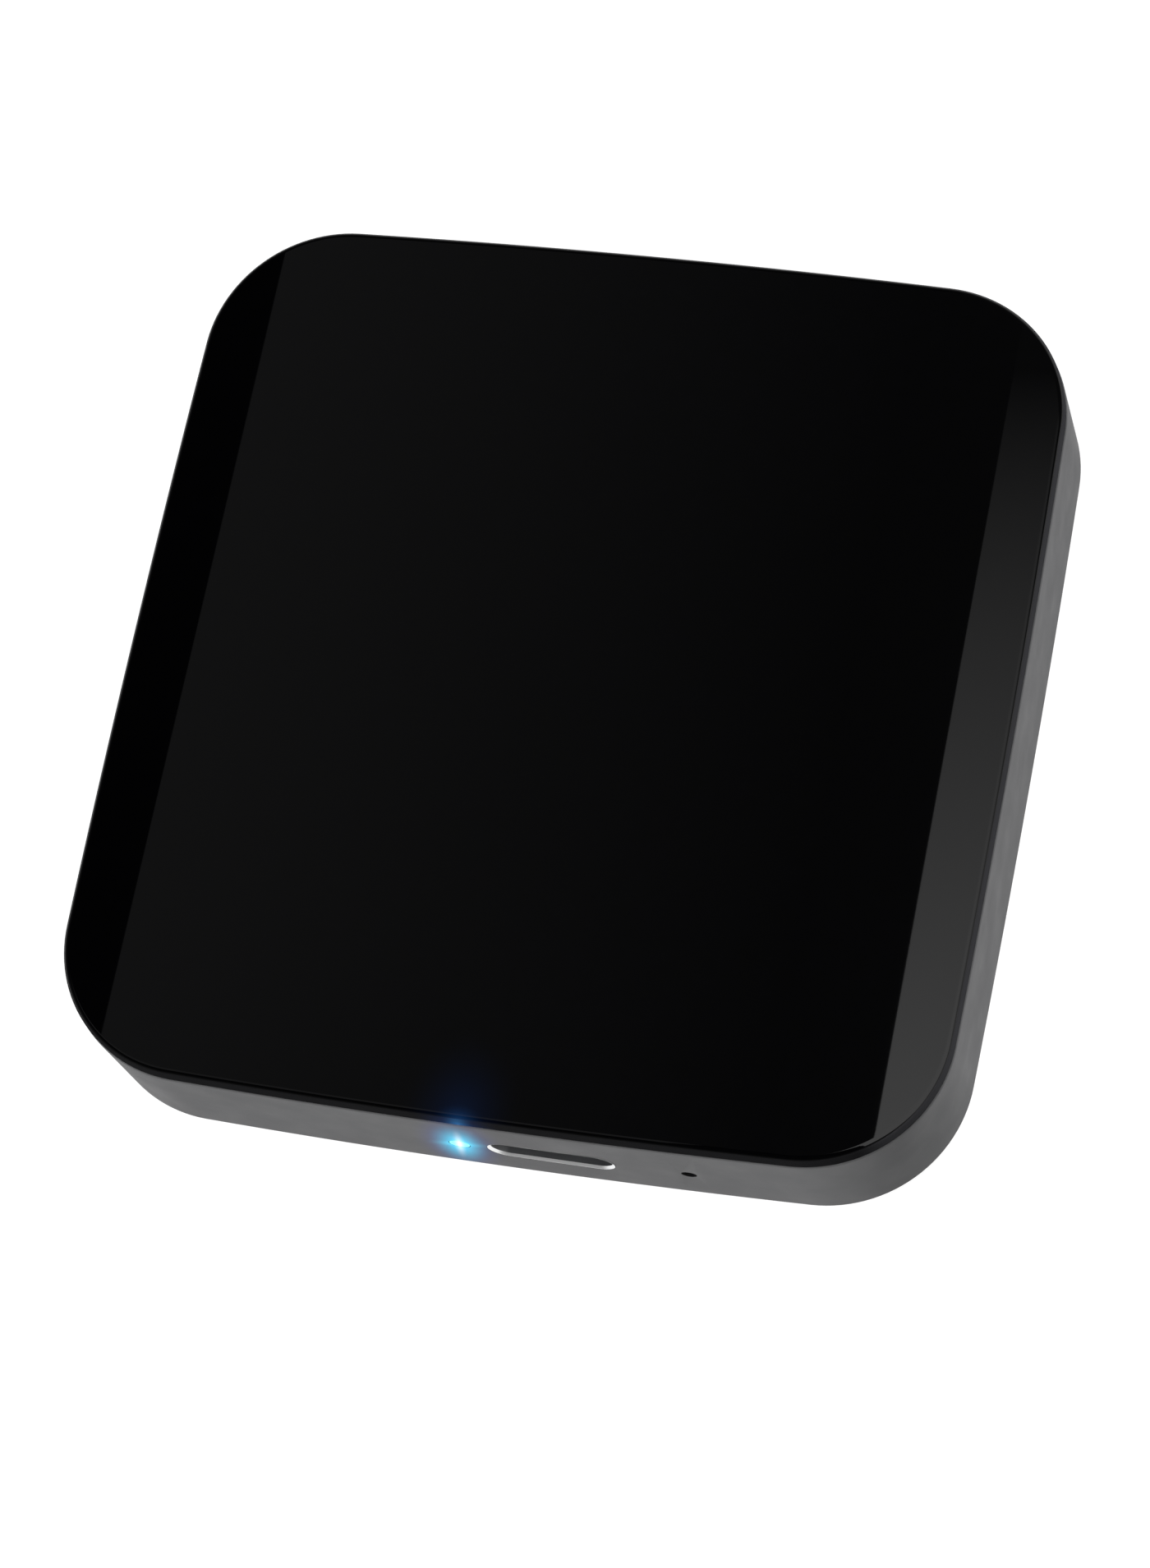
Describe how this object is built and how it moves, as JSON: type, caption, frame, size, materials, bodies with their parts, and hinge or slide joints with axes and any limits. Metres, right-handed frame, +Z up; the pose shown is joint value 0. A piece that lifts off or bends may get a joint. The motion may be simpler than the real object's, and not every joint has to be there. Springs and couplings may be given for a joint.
{
  "type": "smart home hub",
  "caption": "Thin rounded-square smart home hub: gloss black top plate on a satin grey body with a USB-C socket, a status light and a reset pinhole in one edge, on rubber feet.",
  "frame": {"origin": "on the table under the middle of the casing", "axes": "+X to the right along the port edge, -Y out of the port edge, +Z up out of the gloss plate"},
  "size_m": [0.07, 0.0718, 0.0128],
  "materials": {
    "gloss_black": "polished PMMA, mirror gloss",
    "shell_grey": "fine satin paint over moulded ABS",
    "base_grey": "fine spark-eroded texture",
    "foot_rubber": "matt silicone rubber",
    "tape": "matt foam tape",
    "polished_trim": "polished",
    "screw_steel": "zinc plated",
    "circuit_board": "solder mask",
    "clear_acrylic": "polished clear",
    "led": "lit LED lens",
    "socket_steel": "drawn and nickel plated",
    "socket_plastic": "moulded LCP",
    "gold_contact": "gold plated",
    "shield_steel": "tinned",
    "plunger_plastic": "moulded",
    "chip_black": "moulded epoxy",
    "thermal_rubber": "soft gap filler",
    "spreader_aluminium": "rolled",
    "antenna_brass": "stamped and tin plated",
    "ferrite": "pressed ferrite",
    "ceramic": "ceramic body"
  },
  "bodies": {
    "housing": {"top_plate": "gloss_black", "plate_tape": "tape", "body_shell": "shell_grey", "port_trim": "polished_trim", "base_cover": "base_grey", "foot_front_left": "foot_rubber", "foot_front_right": "foot_rubber", "foot_rear_left": "foot_rubber", "foot_rear_right": "foot_rubber", "case_screws": "screw_steel", "board_screws": "screw_steel", "main_board": "circuit_board", "light_pipe": "clear_acrylic", "status_led": "led", "usb_shell": "socket_steel", "usb_tongue": "socket_plastic", "usb_contacts": "gold_contact", "reset_switch_base": "socket_plastic", "reset_switch_cover": "shield_steel", "reset_dome": "shield_steel", "processor_shield": "shield_steel", "processor": "chip_black", "memory_chip": "chip_black", "flash_chip": "chip_black", "thermal_pad": "thermal_rubber", "heat_spreader": "spreader_aluminium", "wifi_module_board": "circuit_board", "wifi_module_shield": "shield_steel", "wifi_antenna": "antenna_brass", "zigbee_module_board": "circuit_board", "zigbee_module_shield": "shield_steel", "zigbee_antenna": "antenna_brass", "crystal": "shield_steel", "power_regulator": "chip_black", "power_inductor": "ferrite", "capacitors": "ceramic", "resistors": "chip_black"},
    "reset_button": {"reset_plunger": "plunger_plastic"}
  },
  "joints": [
    {"name": "reset_press", "type": "slide", "parent": "housing", "child": "reset_button", "axis": [0, 1, 0], "range_m": [0, 0.00025], "stiffness_N_per_m": 3000, "springref_m": -0.00005}
  ]
}
